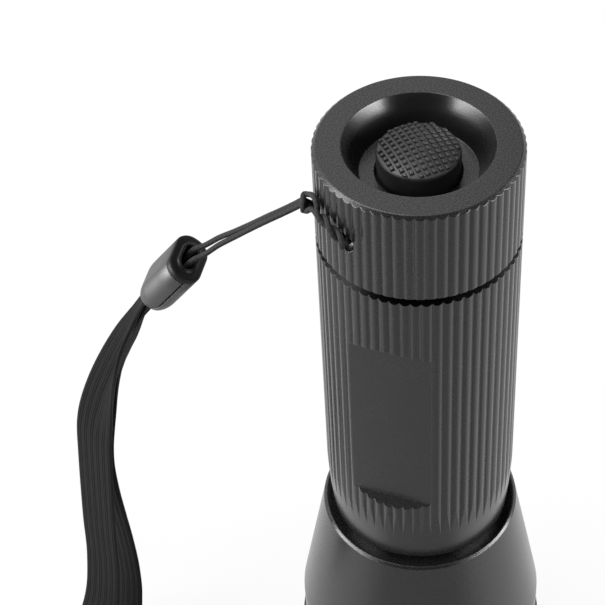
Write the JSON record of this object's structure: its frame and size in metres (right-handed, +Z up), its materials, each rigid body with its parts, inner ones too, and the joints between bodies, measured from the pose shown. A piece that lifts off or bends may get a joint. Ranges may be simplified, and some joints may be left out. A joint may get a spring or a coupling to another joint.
{
  "type": "bicycle flashlight",
  "caption": "Ribbed metal pocket torch with a flared sliding focus head, a screw-off tail cap, a recessed rubber tail button and a woven wrist strap on a cord.",
  "frame": {"origin": "centre of the bezel face, on which the torch stands", "axes": "+Z runs up the torch's axis from the bezel to the tail cap, +Y points away from the viewer, +X to the viewer's right"},
  "size_m": [0.1077, 0.0636, 0.117],
  "materials": {
    "anodised_shell": "satin",
    "seal_rubber": "matte",
    "boot_rubber": "matte",
    "lens_glass": "gloss",
    "plain_steel": "satin",
    "pill_brass": "satin",
    "contact_brass": "satin",
    "board_aluminium": "matte",
    "emitter_plastic": "gloss",
    "wire_plastic": "gloss",
    "board_green": "matte",
    "black_plastic": "matte",
    "cell_jacket": "satin",
    "plunger_plastic": "matte",
    "lanyard_cord": "matte",
    "ferrule_metal": "satin",
    "strap_webbing": "matte"
  },
  "bodies": {
    "head": {"head_shell": "anodised_shell", "bezel_ring": "anodised_shell", "lens_gasket": "seal_rubber", "focus_lens": "lens_glass"},
    "barrel": {"body_tube": "anodised_shell", "focus_seal": "seal_rubber", "stop_ring": "plain_steel", "led_pill": "pill_brass", "led_board": "board_aluminium", "led_emitter": "emitter_plastic", "led_wires": "wire_plastic", "driver_board": "board_green", "driver_spring": "contact_brass", "carrier_frame": "black_plastic", "battery_cells": "cell_jacket", "carrier_contacts": "plain_steel"},
    "tail_contact": {"tail_spring": "contact_brass"},
    "tail_cap": {"tail_cap": "anodised_shell", "cap_seal": "seal_rubber", "boot_rim": "boot_rubber", "switch_housing": "black_plastic", "switch_board": "board_green", "retaining_ring": "plain_steel", "lanyard_tether": "lanyard_cord", "lanyard_knot": "lanyard_cord", "lanyard_cord": "lanyard_cord", "strap_ferrule": "ferrule_metal", "ferrule_plug": "black_plastic", "wrist_strap": "strap_webbing"},
    "button": {"button_boot": "boot_rubber", "switch_plunger": "plunger_plastic"}
  },
  "joints": [
    {"name": "focus_slide", "type": "slide", "parent": "head", "child": "barrel", "axis": [0, 0, 1], "range_m": [0, 0.006]},
    {"name": "cap_lift", "type": "slide", "parent": "barrel", "child": "tail_contact", "axis": [0, 0, 1], "range_m": [0, 0.005]},
    {"name": "cap_turn", "type": "hinge", "parent": "tail_contact", "child": "tail_cap", "pos_m": [0, 0, 0.1009], "axis": [0, 0, 1], "range_deg": [0, 1800]},
    {"name": "button_press", "type": "slide", "parent": "tail_cap", "child": "button", "axis": [0, 0, -1], "range_m": [0, 0.002], "stiffness_N_per_m": 800, "springref_m": -0.0005}
  ],
  "couplings": [
    {"joint": "cap_turn", "follows": "cap_lift", "rad_per_m": 6283.2}
  ]
}
